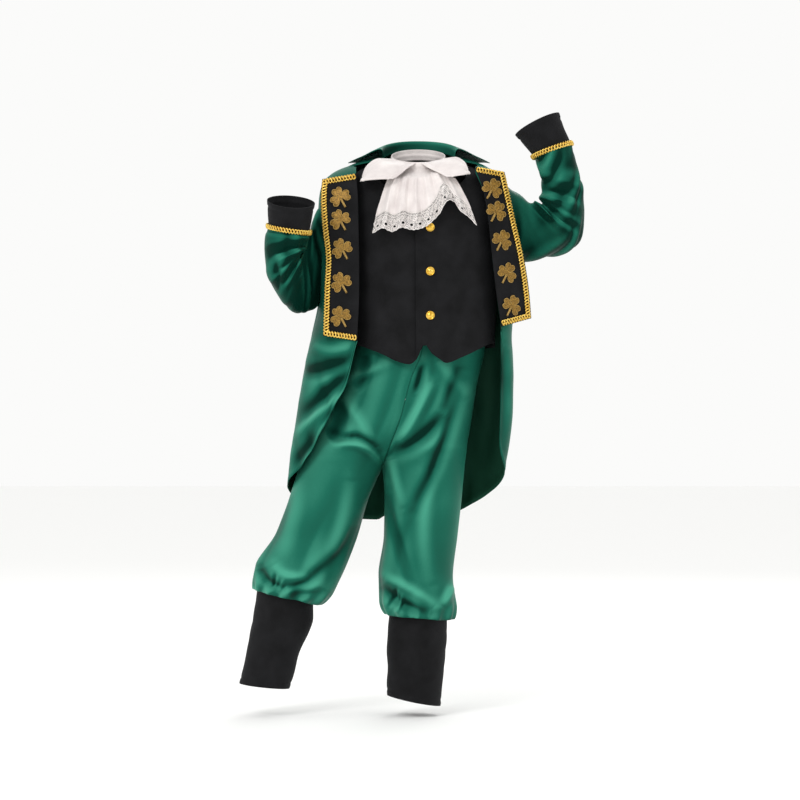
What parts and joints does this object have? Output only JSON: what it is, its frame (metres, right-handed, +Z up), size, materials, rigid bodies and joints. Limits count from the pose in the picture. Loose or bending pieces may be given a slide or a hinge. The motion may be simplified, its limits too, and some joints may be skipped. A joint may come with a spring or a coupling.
{
  "type": "child's Irish stage costume with tailcoat, waistcoat, jabot collar and knee breeches",
  "caption": "Worn child's Irish costume: green velour tailcoat with gold-braided black lapels, black waistcoat, lace jabot collar and green knee breeches with black leg tubes.",
  "frame": {"origin": "middle of the shoulder line inside the coat, where the wearer's shoulders hold it", "axes": "+Z up along the body, -Y out of the front, +X to the wearer's left"},
  "size_m": [0.5139, 0.2635, 0.8803],
  "materials": {
    "green_velour": "crushed velour with a soft sheen",
    "black_cloth": "matt woven polyester",
    "gold_braid": "metallic gimp braid",
    "gold_foil": "glitter foil on cloth",
    "white_satin": "soft satin",
    "white_lace": "floral lace",
    "brass": "polished gold-coloured metal"
  },
  "bodies": {
    "root": {"coat_front_right": "green_velour", "coat_back_right": "green_velour", "coat_front_left": "green_velour", "coat_back_left": "green_velour", "coat_collar": "green_velour", "sleeve_right": "green_velour", "sleeve_left": "green_velour", "breeches_front_right": "green_velour", "breeches_back_right": "green_velour", "breeches_front_left": "green_velour", "breeches_back_left": "green_velour", "waistband": "green_velour", "cuff_right": "black_cloth", "cuff_left": "black_cloth", "lapel_right": "black_cloth", "lapel_left": "black_cloth", "vest_front_right": "black_cloth", "vest_front_left": "black_cloth", "vest_back": "black_cloth", "leg_tube_right": "black_cloth", "leg_tube_left": "black_cloth", "cuff_braid_right": "gold_braid", "cuff_braid_left": "gold_braid", "lapel_braid_right": "gold_braid", "lapel_braid_left": "gold_braid", "shamrock_right_1": "gold_foil", "shamrock_right_2": "gold_foil", "shamrock_right_3": "gold_foil", "shamrock_right_4": "gold_foil", "shamrock_right_5": "gold_foil", "shamrock_left_1": "gold_foil", "shamrock_left_2": "gold_foil", "shamrock_left_3": "gold_foil", "shamrock_left_4": "gold_foil", "shamrock_left_5": "gold_foil", "collar_stand": "white_satin", "collar_leaf_right": "white_satin", "collar_leaf_left": "white_satin", "jabot": "white_satin", "jabot_lace": "white_lace", "button_1": "brass", "button_2": "brass", "button_3": "brass"}
  },
  "joints": []
}
